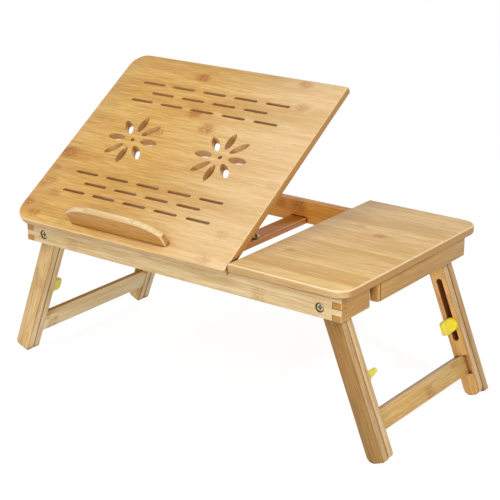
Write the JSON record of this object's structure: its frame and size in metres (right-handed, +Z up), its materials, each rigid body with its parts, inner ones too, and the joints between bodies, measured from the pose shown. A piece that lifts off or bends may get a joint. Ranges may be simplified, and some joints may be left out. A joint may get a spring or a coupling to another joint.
{
  "type": "laptop stand with drawer",
  "caption": "Low folding bed table in bamboo with a tilting slotted panel and book ledge, a flat side shelf over a drawer, and splayed telescopic folding legs.",
  "frame": {"origin": "on the ground under the centre of the stand's overall footprint", "axes": "+X along the length towards the drawer and the fixed shelf, +Y from the user's side to the rear, +Z up"},
  "size_m": [0.581, 0.312, 0.3649],
  "materials": {
    "panel_wood": "smooth lacquered bamboo, grain along the length",
    "shelf_wood": "smooth lacquered bamboo, grain along the length",
    "frame_wood": "lacquered bamboo boards",
    "leg_wood": "lacquered bamboo strips",
    "ledge_wood": "lacquered bamboo",
    "hidden_wood": "sanded bamboo",
    "steel": "bright plated steel",
    "zinc_plate": "zinc-plated sheet steel",
    "knob_plastic": "moulded plastic, satin gloss"
  },
  "bodies": {
    "frame": {"front_board": "frame_wood", "rear_board": "frame_wood", "left_rail": "frame_wood", "right_rail": "frame_wood", "fixed_top": "shelf_wood", "centre_brace": "hidden_wood", "drawer_runner_front": "hidden_wood", "drawer_runner_rear": "hidden_wood", "pivot_bolt_left_front": "steel", "pivot_nut_left_front": "zinc_plate", "pivot_bolt_left_rear": "steel", "pivot_nut_left_rear": "zinc_plate", "hinge_lower_leaf_left": "zinc_plate", "hinge_pin_left": "steel", "pivot_bolt_right_front": "steel", "pivot_nut_right_front": "zinc_plate", "pivot_bolt_right_rear": "steel", "pivot_nut_right_rear": "zinc_plate", "hinge_lower_leaf_right": "zinc_plate", "hinge_pin_right": "steel"},
    "panel": {"tilt_panel": "panel_wood", "book_ledge": "ledge_wood", "prop_bracket": "hidden_wood", "prop_pin": "steel", "hinge_upper_leaf_left": "zinc_plate", "hinge_upper_leaf_right": "zinc_plate"},
    "prop": {"prop_arm": "hidden_wood", "prop_foot_pin": "steel"},
    "drawer": {"drawer_front": "frame_wood", "drawer_side_front": "hidden_wood", "drawer_side_rear": "hidden_wood", "drawer_back": "hidden_wood", "drawer_floor": "hidden_wood"},
    "left_legs": {"left_front_outer_leg": "leg_wood", "left_rear_outer_leg": "leg_wood"},
    "left_leg_extension": {"left_front_inner_leg": "leg_wood", "left_rear_inner_leg": "leg_wood", "left_stretcher": "leg_wood"},
    "left_front_knob_body": {"left_front_knob": "knob_plastic", "left_front_knob_stud": "steel"},
    "left_rear_knob_body": {"left_rear_knob": "knob_plastic", "left_rear_knob_stud": "steel"},
    "right_legs": {"right_front_outer_leg": "leg_wood", "right_rear_outer_leg": "leg_wood"},
    "right_leg_extension": {"right_front_inner_leg": "leg_wood", "right_rear_inner_leg": "leg_wood", "right_stretcher": "leg_wood"},
    "right_front_knob_body": {"right_front_knob": "knob_plastic", "right_front_knob_stud": "steel"},
    "right_rear_knob_body": {"right_rear_knob": "knob_plastic", "right_rear_knob_stud": "steel"}
  },
  "joints": [
    {"name": "panel_tilt", "type": "hinge", "parent": "frame", "child": "panel", "pos_m": [-0.08099, -0.13297, 0.19698], "axis": [1, 0, 0], "range_deg": [-33.5, 0]},
    {"name": "prop_fold", "type": "hinge", "parent": "panel", "child": "prop", "pos_m": [-0.00253, -0.05717, 0.23828], "axis": [1, 0, 0], "range_deg": [0, 69.05]},
    {"name": "drawer_slide", "type": "slide", "parent": "frame", "child": "drawer", "axis": [1, 0, 0], "range_m": [0, 0.095]},
    {"name": "left_leg_fold", "type": "hinge", "parent": "frame", "child": "left_legs", "pos_m": [-0.21199, 0.00403, 0.17898], "axis": [0, -1, 0], "range_deg": [0, 111.7]},
    {"name": "left_leg_extend", "type": "slide", "parent": "left_legs", "child": "left_leg_extension", "axis": [0.3697, 0, 0.9291], "range_m": [-0.056, 0]},
    {"name": "left_front_knob_turn", "type": "hinge", "parent": "left_legs", "child": "left_front_knob_body", "pos_m": [-0.24786, -0.09697, 0.08886], "axis": [0, 1, 0], "range_deg": [0, 360]},
    {"name": "left_rear_knob_turn", "type": "hinge", "parent": "left_legs", "child": "left_rear_knob_body", "pos_m": [-0.24786, 0.10503, 0.08886], "axis": [0, -1, 0], "range_deg": [0, 360]},
    {"name": "right_leg_fold", "type": "hinge", "parent": "frame", "child": "right_legs", "pos_m": [0.21001, 0.00403, 0.17898], "axis": [0, 1, 0], "range_deg": [0, 111.7]},
    {"name": "right_leg_extend", "type": "slide", "parent": "right_legs", "child": "right_leg_extension", "axis": [-0.3697, 0, 0.9291], "range_m": [-0.056, 0]},
    {"name": "right_front_knob_turn", "type": "hinge", "parent": "right_legs", "child": "right_front_knob_body", "pos_m": [0.24587, -0.09697, 0.08886], "axis": [0, 1, 0], "range_deg": [0, 360]},
    {"name": "right_rear_knob_turn", "type": "hinge", "parent": "right_legs", "child": "right_rear_knob_body", "pos_m": [0.24587, 0.10503, 0.08886], "axis": [0, -1, 0], "range_deg": [0, 360]}
  ],
  "couplings": [
    {"joint": "prop_fold", "follows": "panel_tilt", "ratio": -2.0597}
  ]
}
